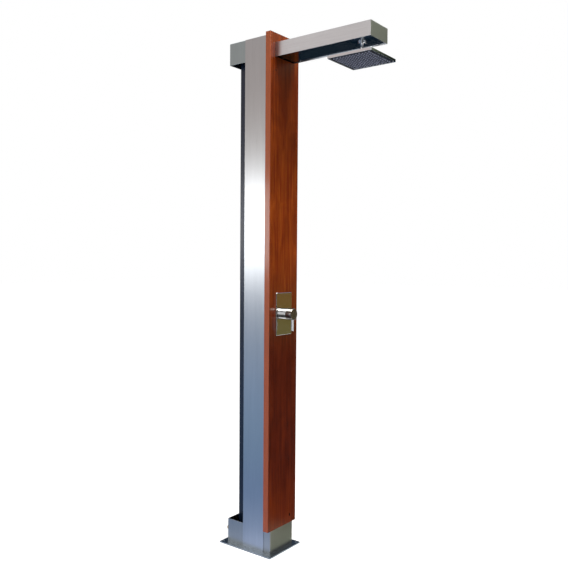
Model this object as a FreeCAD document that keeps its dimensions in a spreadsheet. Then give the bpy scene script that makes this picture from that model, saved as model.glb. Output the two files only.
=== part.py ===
import FreeCAD, Part
import os
import re
import Sketcher

# Outdoor shower post: an inner steel column on a flanged base, clad with steel side panels and a wood
# board, with a box and an arm at the top that carry a square rain head, and a concealed single-lever
# mixer in the board. Millimetres, +Z up, +X towards the bather. The origin is the middle of the base
# plate's underside.

Vector = FreeCAD.Vector
Rotation = FreeCAD.Rotation

SIZES = {
    # whole post
    "total_height": 2250,           # ground to the top of the board
    "fit_gap": 0.3,                 # between curved faces that move past each other
    "thread_gap": 0.1,              # between a thread's two halves, drawn as plain cylinders
    "slip_gap": 0.05,               # round screws, pins and pipes in their holes
    # base plate and collar
    "plate_length": 290,
    "plate_width": 220,
    "plate_thick": 5,
    "anchor_dia": 10,
    "anchor_inset_x": 12,           # anchor hole centre from the plate's front or back edge
    "anchor_inset_y": 14,           # and from its side edge
    "drain_dia": 8,
    "collar_length": 246,
    "collar_width": 160,
    "collar_height": 102,
    "collar_sheet": 2,
    "sheet_bend": 2.5,              # outer radius of a folded corner
    # inner column
    "tube_depth": 120,
    "tube_width": 60,
    "tube_wall": 3,
    "tube_bend": 5,
    "tube_setback": 20,             # collar's back face to the column's back face
    "cap_thick": 4,
    # side panels
    "panel_width": 117,
    "panel_thick": 1.5,
    "panel_setback": 92,            # collar's back face to the panel's back edge
    "panel_return": 10,
    "panel_clear": 5,               # from the folded return's ends to the collar and the top box
    # wood board and the brackets behind it
    "board_width": 200,
    "board_thick": 28,
    "board_proud": 2.5,             # board's face in front of the collar's face
    "board_round": 2,
    "bracket_sheet": 2.5,
    "bracket_height": 40,
    "bracket_lip": 30,
    "bracket_count": 4,
    "bracket_lowest": 320,
    "bracket_below_box": 148,       # highest bracket's middle below the top box
    "bolt_dia": 6,
    "bolt_spread": 15,              # bolt centre from the middle plane
    "bolt_reach": 9,                # shank length behind what it clamps
    "screw_head_wide": 0.8,         # head's radius over the shank's diameter
    "screw_head_high": 0.5,         # head's height over the shank's diameter
    "wood_screw_dia": 4.8,
    "wood_screw_reach": 20,
    # top box
    "box_drop": 7,                  # below the board's top
    "box_height": 95,
    "box_sheet": 2,
    # arm
    "arm_width": 134,
    "arm_height": 60,
    "arm_sheet": 2,
    "arm_lift": 1,                  # arm's lower edge above the box's lower edge
    "arm_reach": 462.5,             # board's face to the arm's end
    "arm_bend": 2,
    "arm_window_gap": 0.5,
    "arm_bracket_sheet": 4,
    "arm_bracket_length": 70,
    "arm_bracket_trim": 8,          # shorter than the arm's height by this much
    "arm_bolt_dia": 8,
    "arm_bolt_rise": 14,
    "side_screw_pitch": 30,
    "end_cap_thick": 2,
    "cover_thick": 2,
    "cover_recess": 3,              # cover above the arm's lower edges
    "cover_screw_dia": 4,
    "cover_screw_inset": 40,        # from either end of the cover
    "tab_depth": 14,
    "tab_length": 18,
    "tab_thick": 2,
    # water inlets and hoses
    "inlet_spread": 52,             # hot and cold centres from the middle plane
    "inlet_height": 55,
    "thread_radius": 10.4,          # half-inch pipe thread, outside
    "nipple_out": 20,
    "nipple_in": 20,
    "nipple_flange": 15,
    "nipple_flange_thick": 4,
    "nipple_bore": 6.5,
    "nut_radius": 13.9,             # over the corners of a hexagon
    "nut_length": 14,
    "nut_grip": 10,
    "backnut_radius": 17.3,
    "backnut_thick": 6,
    "hose_radius": 7,
    "hose_bore": 4.5,
    "pipe_x": 72,                   # hoses and riser stand in one plane behind the board
    "pipe_bend": 60,
    # mixer body
    "valve_height": 1050,
    "valve_radius": 26,
    "valve_back": 52,
    "valve_chamfer": 2,
    "ear_width": 100,
    "ear_height": 44,
    "ear_thick": 4,
    "ear_screw_y": 42,
    "ear_screw_z": 14,
    "arm_radius": 11,               # of the body's water arms
    "inlet_leg": 30,                # valve centre down to the inlet threads' ends
    "outlet_leg": 42,
    "water_bore": 6,
    "port_radius": 3,
    "port_offset": 9,
    "nose_radius": 20.5,
    "nose_setback": 8,              # nose's front behind the sleeve's front
    # cartridge
    "cartridge_radius": 17.5,
    "cartridge_length": 33.5,
    "cartridge_floor": 3,
    "cartridge_wall": 2.2,
    "cartridge_mouth": 12.5,
    "cartridge_lip": 3,
    "nut_play": 0.5,
    "disc_radius": 15,
    "disc_thick": 4,
    "slider_radius": 10.6,
    "slider_thick": 5,
    "slider_pocket": 3.6,
    "disc_film": 0.05,
    "carrier_length": 9,
    "carrier_radius": 14,
    "carrier_slot": 14,
    "pivot_depth": 15,              # lever pivot behind the sleeve's front
    "pivot_pin_dia": 3,
    "pivot_pin_length": 25,
    "spindle_width": 7.8,
    "spindle_height": 8,
    "spindle_arm": 14,
    "spindle_ball": 3,
    "spindle_neck": 2.3,
    # trim
    "rosette_width": 110,
    "rosette_height": 185,
    "rosette_thick": 4,
    "rosette_bevel": 1.5,
    "rosette_corner": 3,
    "gasket_thick": 1,
    "gasket_margin": 4,
    "board_hole_dia": 60,
    "sleeve_radius": 24,
    "sleeve_wall": 1.2,
    "sleeve_proud": 20.5,
    "sleeve_tuck": 8,
    "ring_section": 1.2,
    "dome_proud": 5,
    "dome_face": 17,
    "handle_gap": 3,
    "handle_radius": 25,
    "handle_length": 30,
    "handle_wall": 2.5,
    "handle_cavity": 14,
    "handle_round": 1.5,
    "socket_depth": 12,
    "lever_radius": 5.5,
    "lever_drop": 73,               # valve centre to the lever's tip
    "lever_setback": 8,
    "lever_round": 1.5,
    # riser and drop
    "riser_radius": 7.5,
    "riser_wall": 1,
    "riser_level": 31,              # riser's level run above the arm's lower edge
    "clip_width": 22,
    "clip_height": 14,
    "clip_back": 10,
    "clip_inset": 208,              # from either end of the riser's upright run
    "drop_reach": 384.5,            # board's face to the drop pipe
    "drop_radius": 6.25,
    "drop_wall": 1.5,
    "elbow_radius": 12,
    "elbow_stub": 26,
    "elbow_leg": 17,
    "elbow_bore": 5,
    "elbow_socket": 9,
    "locknut_radius": 17,
    "locknut_thick": 6,
    "locknut_round": 1,
    # swivel
    "ball_radius": 9,
    "ball_rise": 15.5,              # ball centre above the head's top
    "ball_bore": 2.5,
    "neck_radius": 4,
    "neck_top": 12,                 # above the ball's centre
    "stem_radius": 9,
    "stem_length": 11,
    "stem_socket": 9,
    "seat_gap": 0.2,
    "seat_wall": 1.6,
    "seat_low": 60,                 # degrees below the equator
    "seat_high": 25,
    "washer_low": 20,               # degrees above the equator
    "washer_high": 36,
    "boss_radius": 12.5,
    "boss_height": 8.5,
    "swivel_radius": 15,
    "swivel_lift": 1,
    "swivel_top": 7.5,
    "swivel_round": 1,
    "swivel_thread_top": 5,
    # rain head
    "head_size": 200,
    "head_hang": 67.5,              # arm's lower edge to the head's underside
    "head_rim": 11,
    "head_corner": 5,
    "head_round": 1,
    "head_wall": 4,
    "head_roof": 2.5,
    "head_ledge": 10,
    "face_recess": 1,
    "face_thick": 2,
    "face_gap": 0.2,
    "mat_thick": 1.5,
    "seal_thick": 1,
    "nozzle_pitch": 14.5,
    "nozzle_count": 12,
    "nozzle_radius": 1.9,
    "nozzle_proud": 0.6,
    "face_screw_dia": 2.4,
    "face_screw_reach": 6.5,
    "face_screw_head": 0.9,
}

# Places worked out from the sizes, each written once.
PLACES = {
    "collar_back": "-collar_length / 2",
    "collar_front": "collar_length / 2",
    "collar_side": "collar_width / 2",
    "collar_top": "plate_thick + collar_height",
    "tube_back": "collar_back + tube_setback",
    "tube_front": "tube_back + tube_depth",
    "tube_side": "tube_width / 2",
    "tube_top": "box_top - box_sheet - cap_thick",
    "board_front": "collar_front + board_proud",
    "board_back": "board_front - board_thick",
    "panel_back": "collar_back + panel_setback",
    "box_top": "total_height - box_drop",
    "box_bottom": "box_top - box_height",
    "arm_bottom": "box_bottom + arm_lift",
    "arm_top": "arm_bottom + arm_height",
    "arm_side": "arm_width / 2",
    "arm_inside": "arm_side - arm_sheet",
    "arm_root": "tube_front + arm_bracket_sheet",
    "arm_end": "board_front + arm_reach",
    "arm_middle": "arm_bottom + arm_height / 2",
    "cover_bottom": "arm_bottom + cover_recess",
    "cover_top": "cover_bottom + cover_thick",
    "cover_end": "arm_end - end_cap_thick",
    "bracket_pitch": "(box_bottom - bracket_below_box - bracket_lowest) / (bracket_count - 1)",
    "lip_face": "board_back - bracket_sheet",
    "lip_screw_y": "collar_side - bracket_lip / 2",
    "hose_start": "collar_back + nipple_in + thread_gap",
    "hose_top": "valve_height - inlet_leg - thread_gap",
    "riser_start": "valve_height + outlet_leg + thread_gap",
    "riser_z": "arm_bottom + riser_level",
    "riser_end": "drop_x - elbow_stub - thread_gap",
    "rosette_face": "board_front + gasket_thick + rosette_thick",
    "sleeve_front": "rosette_face + sleeve_proud",
    "handle_back": "sleeve_front + handle_gap",
    "handle_front": "handle_back + handle_length",
    "pivot_x": "sleeve_front - pivot_depth",
    "nose_front": "sleeve_front - nose_setback",
    "cartridge_front": "nose_front + nut_play",
    "cartridge_back": "cartridge_front - cartridge_length",
    "disc_back": "cartridge_back + cartridge_floor",
    "slider_back": "disc_back + disc_thick + disc_film",
    "slider_front": "slider_back + slider_thick",
    "carrier_front": "cartridge_front - cartridge_lip - fit_gap",
    "carrier_back": "carrier_front - carrier_length",
    "drop_x": "board_front + drop_reach",
    "head_bottom": "arm_bottom - head_hang",
    "head_top": "head_bottom + head_rim",
    "ball_z": "head_top + ball_rise",
    "stem_bottom": "ball_z + neck_top",
    "face_bottom": "head_bottom + face_recess",
    "face_top": "face_bottom + face_thick",
    "mat_top": "face_top + mat_thick",
    "ledge_z": "mat_top + seal_thick",
    "face_half": "head_size / 2 - head_wall - face_gap",
    "chamber_half": "head_size / 2 - head_wall - head_ledge",
    "nozzle_corner": "-(nozzle_count - 1) * nozzle_pitch / 2",
    "nozzle_length": "face_thick + nozzle_proud",
    "face_screw_at": "head_size / 2 - head_wall - head_ledge / 2",
}

TURNS = {
    "z": Rotation(),
    "x": Rotation(Vector(1, 1, 1), 120),     # sketch x, y, normal lie along Y, Z, X
    "y": Rotation(Vector(1, 1, 1), 240),     # sketch x, y, normal lie along Z, X, Y
    "-z": Rotation(Vector(1, 0, 0), 180),
    "-x": Rotation(Vector(0, 1, 0), -90),
    "-y": Rotation(Vector(1, 0, 0), 90),
}

DOC = FreeCAD.newDocument("ShowerPost")
SHEET = DOC.addObject("Spreadsheet::Sheet", "Sizes")
NODES = []


def fill_sheet():
    for row, (alias, size) in enumerate(SIZES.items(), start=1):
        SHEET.set(f"A{row}", alias)
        SHEET.set(f"B{row}", str(size))
        SHEET.setAlias(f"B{row}", alias)
    DOC.recompute()


def formula(text):
    """The sheet's expression for a size or place, with each derived place opened out."""
    def swap(match):
        word = match.group(0)
        if word in PLACES:
            return f"({formula(PLACES[word])})"
        return f"Sizes.{word}" if word in SIZES else word
    return re.sub(r"[A-Za-z_]\w*", swap, str(text))


def value(text):
    """The number that an expression gives now."""
    return float(SHEET.evalExpression(formula(text)))


def bind(thing, **sizes):
    for name, text in sizes.items():
        thing.setExpression(name, formula(text))
    return thing


def place(thing, at, along="z"):
    """Turn a piece's own +Z along an axis and put its origin at a point of the post."""
    thing.Placement = FreeCAD.Placement(Vector(), TURNS[along])
    for letter, text in zip("xyz", at):
        thing.setExpression(f"Placement.Base.{letter}", formula(text))
    return thing


def keep(thing, label):
    """Name a finished piece and put it on the list of nodes."""
    thing.Label = label
    NODES.append(thing)
    return thing


# Outlines and features ---------------------------------------------------------------------------

def rectangle(left, low, right, high):
    return [(left, low), (right, low), (right, high), (left, high)]


def origin_plane(body, role):
    return next(part for part in body.Origin.OriginFeatures if part.Role == role)


def sketch(body, loops=(), circles=(), plane="XY_Plane", lift="0"):
    """Closed outlines with every corner held to the sheet, and round holes (x, y, radius)."""
    outline = body.newObject("Sketcher::SketchObject", "Outline")
    outline.AttachmentSupport = (origin_plane(body, plane), [""])
    outline.MapMode = "FlatFace"
    outline.setExpression("AttachmentOffset.Base.z", formula(lift))

    def hold(kind, name, geometry, spot, text):
        index = outline.addConstraint(Sketcher.Constraint(kind, -1, 1, geometry, spot, value(text)))
        outline.renameConstraint(index, name)
        outline.setExpression(f"Constraints.{name}", formula(text))

    for corners in loops:
        first = outline.GeometryCount
        points = [Vector(value(across), value(up), 0) for across, up in corners]
        for start, end in zip(points, points[1:] + points[:1]):
            outline.addGeometry(Part.LineSegment(start, end))
        for step, (across, up) in enumerate(corners):
            side = first + step
            following = first + (step + 1) % len(corners)
            outline.addConstraint(Sketcher.Constraint("Coincident", side, 2, following, 1))
            hold("DistanceX", f"across_{side}", side, 1, across)
            hold("DistanceY", f"up_{side}", side, 1, up)
    for across, up, radius in circles:
        hole = outline.GeometryCount
        centre = Vector(value(across), value(up), 0)
        outline.addGeometry(Part.Circle(centre, Vector(0, 0, 1), value(radius)))
        hold("DistanceX", f"across_{hole}", hole, 3, across)
        hold("DistanceY", f"up_{hole}", hole, 3, up)
        index = outline.addConstraint(Sketcher.Constraint("Radius", hole, value(radius)))
        outline.renameConstraint(index, f"radius_{hole}")
        outline.setExpression(f"Constraints.radius_{hole}", formula(radius))
    return outline


def new_body(at=("0", "0", "0"), along="z"):
    return place(DOC.addObject("PartDesign::Body", "Piece"), at, along)


def pad(body, depth, loops=(), circles=(), lift="0"):
    """Add material above an outline."""
    outline = sketch(body, loops, circles, lift=lift)
    feature = body.newObject("PartDesign::Pad", "Pad")
    feature.Profile = outline
    return bind(feature, Length=depth)


def pocket(body, depth, loops=(), circles=()):
    """Cut the space above an outline, and make sure that something came away."""
    DOC.recompute()
    before = body.Shape.Volume
    outline = sketch(body, loops, circles)
    feature = body.newObject("PartDesign::Pocket", "Pocket")
    feature.Profile = outline
    feature.Reversed = True
    bind(feature, Length=depth)
    DOC.recompute()
    if body.Shape.Volume >= before:
        raise ValueError(f"a pocket of {body.Label} cuts nothing")
    return feature


def soften(body, size, wanted, kind="Fillet"):
    """Round or bevel the edges of a body's last feature that a test picks out."""
    DOC.recompute()
    last = body.Tip
    names = [f"Edge{number}" for number, edge in enumerate(last.Shape.Edges, start=1) if wanted(edge)]
    feature = body.newObject(f"PartDesign::{kind}", kind)
    feature.Base = (last, names)
    bind(feature, **{"Radius" if kind == "Fillet" else "Size": size})
    DOC.recompute()
    return feature


def runs_along(edge, axis):
    ends = [vertex.Point for vertex in edge.Vertexes]
    if len(ends) < 2:
        return False
    run = ends[1] - ends[0]
    return run.Length > 0 and abs(abs(run.dot(axis)) - run.Length) < 1e-6


def reaches(edge, axis, place_text):
    """Whether a whole edge lies at one coordinate along an axis."""
    spot = value(place_text)
    box = edge.BoundBox
    low = Vector(box.XMin, box.YMin, box.ZMin).dot(axis)
    high = Vector(box.XMax, box.YMax, box.ZMax).dot(axis)
    return abs(low - spot) < 1e-4 and abs(high - spot) < 1e-4


X, Y, Z = Vector(1, 0, 0), Vector(0, 1, 0), Vector(0, 0, 1)


def prism(depth, loops=(), circles=(), at=("0", "0", "0"), along="z"):
    body = new_body(at, along)
    pad(body, depth, loops, circles)
    return body


def turned(outline, at=("0", "0", "0"), along="z"):
    """A lathe piece: corners are (radius, distance along the axis)."""
    body = new_body(at, along)
    profile = sketch(body, [outline], plane="XZ_Plane")
    feature = body.newObject("PartDesign::Revolution", "Turning")
    feature.Profile = profile
    feature.ReferenceAxis = (profile, ["V_Axis"])
    feature.Angle = 360
    return body


def block(low, size):
    """A box from its lowest corner."""
    thing = bind(DOC.addObject("Part::Box", "Block"), Length=size[0], Width=size[1], Height=size[2])
    return place(thing, low)


def rod(radius, length, at, along="z"):
    return place(bind(DOC.addObject("Part::Cylinder", "Rod"), Radius=radius, Height=length), at, along)


def ball(radius, at):
    return place(bind(DOC.addObject("Part::Sphere", "Ball"), Radius=radius), at)


def hexagon(radius, length, at, along="z"):
    thing = bind(DOC.addObject("Part::Prism", "Hexagon"), Circumradius=radius, Height=length)
    thing.Polygon = 6
    return place(thing, at, along)


def fuse(*things):
    joined = DOC.addObject("Part::MultiFuse", "Joined")
    joined.Shapes = list(things)
    joined.Refine = True
    return joined


def cut(base, *tools):
    for tool in tools:
        left = DOC.addObject("Part::Cut", "Left")
        left.Base = base
        left.Tool = tool
        base = left
    return base


def group(things):
    """Separate solids under one name."""
    together = DOC.addObject("Part::Compound", "Group")
    together.Links = list(things)
    return together


def screw(diameter, reach, at, along, head_height=None):
    """A pan-headed screw: its head stands behind the point given, its shank runs ahead of it."""
    shank = f"{diameter} / 2"
    head = f"screw_head_wide * {diameter}"
    high = head_height or f"screw_head_high * {diameter}"
    outline = [("0", f"-({high})"), (head, f"-({high})"), (head, "0"), (shank, "0"), (shank, reach),
               ("0", reach)]
    return turned(outline, at, along)


def bent_tube(radius, start, corner, end, rising_first):
    """A level run along +X, a quarter bend up and a rise, or a rise and a quarter bend to level."""
    turn = "pipe_bend"
    torus = bind(DOC.addObject("Part::Torus", "Bend"), Radius1=turn, Radius2=radius)
    torus.Angle3 = 90
    first_x, y, first_z = start
    if rising_first:
        runs = [rod(radius, f"{corner} - {turn} - ({first_z})", (first_x, y, first_z)),
                rod(radius, f"{end} - ({first_x} + {turn})", (f"{first_x} + {turn}", y, corner), "x")]
        centre = (f"{first_x} + {turn}", y, f"{corner} - {turn}")
        spin = Rotation(X, 90).multiply(Rotation(Z, 90))
    else:
        runs = [rod(radius, f"{corner} - {turn} - ({first_x})", (first_x, y, first_z), "x"),
                rod(radius, f"{end} - ({first_z} + {turn})", (corner, y, f"{first_z} + {turn}"))]
        centre = (f"{corner} - {turn}", y, f"{first_z} + {turn}")
        spin = Rotation(X, 90).multiply(Rotation(Z, -90))
    place(torus, centre)
    torus.Placement = FreeCAD.Placement(torus.Placement.Base, spin)
    return fuse(runs[0], torus, runs[1])


# The post ----------------------------------------------------------------------------------------

SIDES = {"left": "-1", "right": "1"}


def make_base():
    """A cut steel plate with anchor and drain holes, and the open-topped sheet collar welded on it."""
    body = new_body()
    anchors = [(f"{x} * (plate_length / 2 - anchor_inset_x)", f"{y} * (plate_width / 2 - anchor_inset_y)",
                "anchor_dia / 2") for x in (-1, 1) for y in (-1, 1)]
    drains = [("collar_back + 2.5 * drain_dia", f"{y} * (collar_side - 2 * drain_dia)", "drain_dia / 2")
              for y in (-1, 1)]
    edges = rectangle("-plate_length / 2", "-plate_width / 2", "plate_length / 2", "plate_width / 2")
    pad(body, "plate_thick", [edges], anchors + drains)
    keep(body, "base_plate")

    collar = new_body(("0", "0", "plate_thick"))
    outer = rectangle("collar_back", "-collar_side", "collar_front", "collar_side")
    inner = rectangle("collar_back + collar_sheet", "-collar_side + collar_sheet",
                      "collar_front - collar_sheet", "collar_side - collar_sheet")
    pad(collar, "collar_height", [outer])
    soften(collar, "sheet_bend", lambda edge: runs_along(edge, Z))
    pocket(collar, "collar_height", [inner])
    holes = [rod("thread_radius + thread_gap", "2 * collar_sheet",
                 ("collar_back - collar_sheet / 2", f"{side} * inlet_spread", "inlet_height"), "x")
             for side in SIDES.values()]
    keep(cut(collar, *holes), "base_collar")


def make_column():
    """The structural tube between the base plate and the top box, with its welded cap."""
    body = new_body(("0", "0", "plate_thick"))
    outer = rectangle("tube_back", "-tube_side", "tube_front", "tube_side")
    inner = rectangle("tube_back + tube_wall", "-tube_side + tube_wall", "tube_front - tube_wall",
                      "tube_side - tube_wall")
    pad(body, "tube_top - plate_thick", [outer])
    soften(body, "tube_bend", lambda edge: runs_along(edge, Z))
    pocket(body, "tube_top - plate_thick", [inner])
    taps = [rod("bolt_dia / 2 + slip_gap", "2 * tube_wall",
                ("tube_front - 1.5 * tube_wall", f"{side} * bolt_spread", level), "x")
            for level in bracket_levels() for side in SIDES.values()]
    taps += [rod("arm_bolt_dia / 2 + slip_gap", "2 * tube_wall", ("tube_front - 1.5 * tube_wall", y, z), "x")
             for y, z in arm_bolt_places()]
    keep(cut(body, *taps), "column_tube")

    cap = prism("cap_thick", [outer], [(x, "0", "bolt_dia / 2 + slip_gap") for x in box_screw_places()],
                ("0", "0", "tube_top"))
    keep(cap, "column_cap")


def bracket_levels():
    return [f"bracket_lowest + {step} * bracket_pitch" for step in range(SIZES["bracket_count"])]


def box_screw_places():
    return [f"tube_back + {share} * tube_depth" for share in (0.25, 0.75)]


def arm_bolt_places():
    return [(f"{side} * bolt_spread", f"arm_middle + {rise} * arm_bolt_rise")
            for side in SIDES.values() for rise in (-1, 1)]


def make_panels():
    """Thin brushed side panels over the collar, the service space and the top box."""
    for name, side in SIDES.items():
        body = new_body(("0", "0", "plate_thick"))
        flat = rectangle("panel_back", f"{side} * collar_side", "panel_back + panel_width",
                         f"{side} * (collar_side + panel_thick)")
        pad(body, "box_top - plate_thick", [flat])
        fold = rectangle("panel_back", f"{side} * (collar_side - panel_return)",
                         "panel_back + panel_thick", f"{side} * collar_side")
        pad(body, "box_bottom - collar_top - 2 * panel_clear", [fold], lift="collar_height + panel_clear")
        keep(body, f"side_panel_{name}")


def make_brackets():
    """Folded brackets on the column's front that carry the side panels and the board."""
    outline = [
        ("tube_front", "-collar_side"),
        ("board_back", "-collar_side"),
        ("board_back", "-collar_side + bracket_lip"),
        ("lip_face", "-collar_side + bracket_lip"),
        ("lip_face", "-collar_side + bracket_sheet"),
        ("tube_front + bracket_sheet", "-collar_side + bracket_sheet"),
        ("tube_front + bracket_sheet", "collar_side - bracket_sheet"),
        ("lip_face", "collar_side - bracket_sheet"),
        ("lip_face", "collar_side - bracket_lip"),
        ("board_back", "collar_side - bracket_lip"),
        ("board_back", "collar_side"),
        ("tube_front", "collar_side"),
    ]
    bolts = []
    screws = []
    for number, level in enumerate(bracket_levels(), start=1):
        folded = prism("bracket_height", [outline], at=("0", "0", f"{level} - bracket_height / 2"))
        holes = []
        for side in SIDES.values():
            bolt_at = f"{side} * bolt_spread"
            screw_at = f"{side} * lip_screw_y"
            holes.append(rod("bolt_dia / 2 + thread_gap", "2 * bracket_sheet",
                             ("tube_front - bracket_sheet / 2", bolt_at, level), "x"))
            holes.append(rod("wood_screw_dia / 2 + thread_gap", "2 * bracket_sheet",
                             ("lip_face - bracket_sheet / 2", screw_at, level), "x"))
            bolts.append(screw("bolt_dia", "bracket_sheet + bolt_reach",
                               ("tube_front + bracket_sheet", bolt_at, level), "-x"))
            screws.append(screw("wood_screw_dia", "bracket_sheet + wood_screw_reach",
                                ("lip_face", screw_at, level), "x"))
        keep(cut(folded, *holes), f"board_bracket_{number}")
    keep(group(bolts), "bracket_bolts")
    keep(group(screws), "board_screws")


def make_top_box():
    """A folded cover over the column's head, open underneath and notched for the arm."""
    body = new_body(("0", "0", "box_bottom"))
    outer = rectangle("collar_back", "-collar_side", "board_back", "collar_side")
    inner = rectangle("collar_back + box_sheet", "-collar_side + box_sheet", "board_back - box_sheet",
                      "collar_side - box_sheet")
    pad(body, "box_height", [outer])
    soften(body, "sheet_bend",
           lambda edge: runs_along(edge, Z) or (reaches(edge, Z, "box_height") and not runs_along(edge, Y)))
    pocket(body, "box_height - box_sheet", [inner])
    notch = block(("board_back - 1.5 * box_sheet", "-arm_side - arm_window_gap", "box_bottom - box_sheet"),
                  ("2 * box_sheet", "arm_width + 2 * arm_window_gap",
                   "arm_top + arm_window_gap - box_bottom + box_sheet"))
    holes = [rod("bolt_dia / 2 + thread_gap", "2 * box_sheet", (x, "0", "box_top - 1.5 * box_sheet"))
             for x in box_screw_places()]
    keep(cut(body, notch, *holes), "top_box")
    screws = [screw("bolt_dia", "box_sheet + cap_thick", (x, "0", "box_top"), "-z")
              for x in box_screw_places()]
    keep(group(screws), "top_box_screws")


def cover_screw_places():
    return [(x, f"{side} * (arm_inside - tab_depth / 2)")
            for x in ("board_front + cover_screw_inset", "cover_end - cover_screw_inset")
            for side in SIDES.values()]


def side_screw_places():
    return [(f"arm_root + arm_bracket_length / 2 + {step} * side_screw_pitch / 2", side)
            for step in (-1, 1) for side in SIDES.values()]


def make_arm():
    """A folded channel on a bracket at the column's front, with a welded end and a screwed-in cover."""
    cheek = "arm_inside - arm_bracket_sheet"
    tip = "arm_root + arm_bracket_length"
    bracket = prism("arm_height - arm_bracket_trim", [[
        ("tube_front", "-arm_inside"), (tip, "-arm_inside"), (tip, f"-({cheek})"),
        ("arm_root", f"-({cheek})"), ("arm_root", cheek), (tip, cheek), (tip, "arm_inside"),
        ("tube_front", "arm_inside")]], at=("0", "0", "arm_bottom + arm_bracket_trim / 2"))
    bolt_holes = [rod("arm_bolt_dia / 2 + thread_gap", "2 * arm_bracket_sheet",
                      ("tube_front - arm_bracket_sheet / 2", y, z), "x") for y, z in arm_bolt_places()]
    side_holes = [rod("bolt_dia / 2 + slip_gap", "arm_width", (x, "-arm_side", "arm_middle"), "y")
                  for x, side in side_screw_places() if side == SIDES["left"]]
    keep(cut(bracket, *bolt_holes, *side_holes), "arm_bracket")
    keep(group([screw("arm_bolt_dia", "arm_bracket_sheet + bolt_reach", ("arm_root", y, z), "-x")
                for y, z in arm_bolt_places()]), "arm_bolts")

    channel = new_body(("arm_root", "0", "0"), "x")
    pad(channel, "arm_end - arm_root", [[
        ("-arm_side", "arm_bottom"), ("-arm_side", "arm_top"), ("arm_side", "arm_top"),
        ("arm_side", "arm_bottom"), ("arm_inside", "arm_bottom"), ("arm_inside", "arm_top - arm_sheet"),
        ("-arm_inside", "arm_top - arm_sheet"), ("-arm_inside", "arm_bottom")]])
    soften(channel, "arm_bend", lambda edge: runs_along(edge, Z) and reaches(edge, Y, "arm_top"))
    tabs = [block((f"{x} - tab_length / 2", f"{y} - tab_depth / 2", "cover_top"),
                  ("tab_length", "tab_depth", "tab_thick")) for x, y in cover_screw_places()]
    taps = [rod("cover_screw_dia / 2 + slip_gap", "2 * tab_thick", (x, y, "cover_top - tab_thick / 2"))
            for x, y in cover_screw_places()]
    side_taps = [rod("bolt_dia / 2 + slip_gap", "2 * arm_width", (x, "-arm_width", "arm_middle"), "y")
                 for x, side in side_screw_places() if side == SIDES["left"]]
    keep(cut(fuse(channel, *tabs), *taps, *side_taps), "arm_channel")
    keep(group([screw("bolt_dia", "arm_sheet + arm_bracket_sheet", (x, f"{side} * arm_side", "arm_middle"),
                      "y" if side == SIDES["left"] else "-y") for x, side in side_screw_places()]),
         "arm_side_screws")

    mouth = rectangle("-arm_inside", "arm_bottom", "arm_inside", "arm_top - arm_sheet")
    keep(prism("end_cap_thick", [mouth], at=("cover_end", "0", "0"), along="x"), "arm_end_cap")

    holes = [(x, y, "cover_screw_dia / 2 + thread_gap") for x, y in cover_screw_places()]
    holes.append(("drop_x", "0", "drop_radius + thread_gap"))
    cover = prism("cover_thick", [rectangle("board_back", "-arm_inside", "cover_end", "arm_inside")],
                  holes, ("0", "0", "cover_bottom"))
    keep(cover, "arm_cover")
    keep(group([screw("cover_screw_dia", "cover_thick + tab_thick", (x, y, "cover_bottom"), "z")
                for x, y in cover_screw_places()]), "arm_cover_screws")


def make_board():
    """The board: eased edges, a window for the arm, a hole for the mixer and blind pilot holes."""
    body = new_body(("board_back", "0", "0"), "x")
    half = "board_width / 2"
    pad(body, "board_thick", [rectangle(f"-{half}", "collar_top", half, "total_height")])
    soften(body, "board_round", lambda edge: not runs_along(edge, Z) and not reaches(edge, Y, "collar_top"))
    window = rectangle("-arm_side - arm_window_gap", "arm_bottom - arm_window_gap",
                       "arm_side + arm_window_gap", "arm_top + arm_window_gap")
    pocket(body, "board_thick", [window], [("0", "valve_height", "board_hole_dia / 2")])
    pilots = [(f"{side} * lip_screw_y", level) for level in bracket_levels() for side in SIDES.values()]
    pilots += ear_screw_places()
    pocket(body, "wood_screw_reach + thread_gap",
           circles=[(y, z, "wood_screw_dia / 2 + slip_gap") for y, z in pilots])
    keep(body, "wood_board")


def ear_screw_places():
    return [(f"{side} * ear_screw_y", f"valve_height + {rise} * ear_screw_z")
            for side in SIDES.values() for rise in (-1, 1)]


def union_nut(low, pipe_radius, along, grip_high):
    """A hexagonal union nut round a thread and the pipe that it draws up to it."""
    x, y, z = low
    solid = hexagon("nut_radius", "nut_length", low, along)
    pipe_hole = rod(f"{pipe_radius} + thread_gap", "nut_length", low, along)
    if grip_high:
        shift = "nut_length - nut_grip"
        low = (f"{x} + {shift}", y, z) if along == "x" else (x, y, f"{z} + {shift}")
    thread_hole = rod("thread_radius + thread_gap", "nut_grip", low, along)
    return cut(solid, fuse(pipe_hole, thread_hole))


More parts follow.
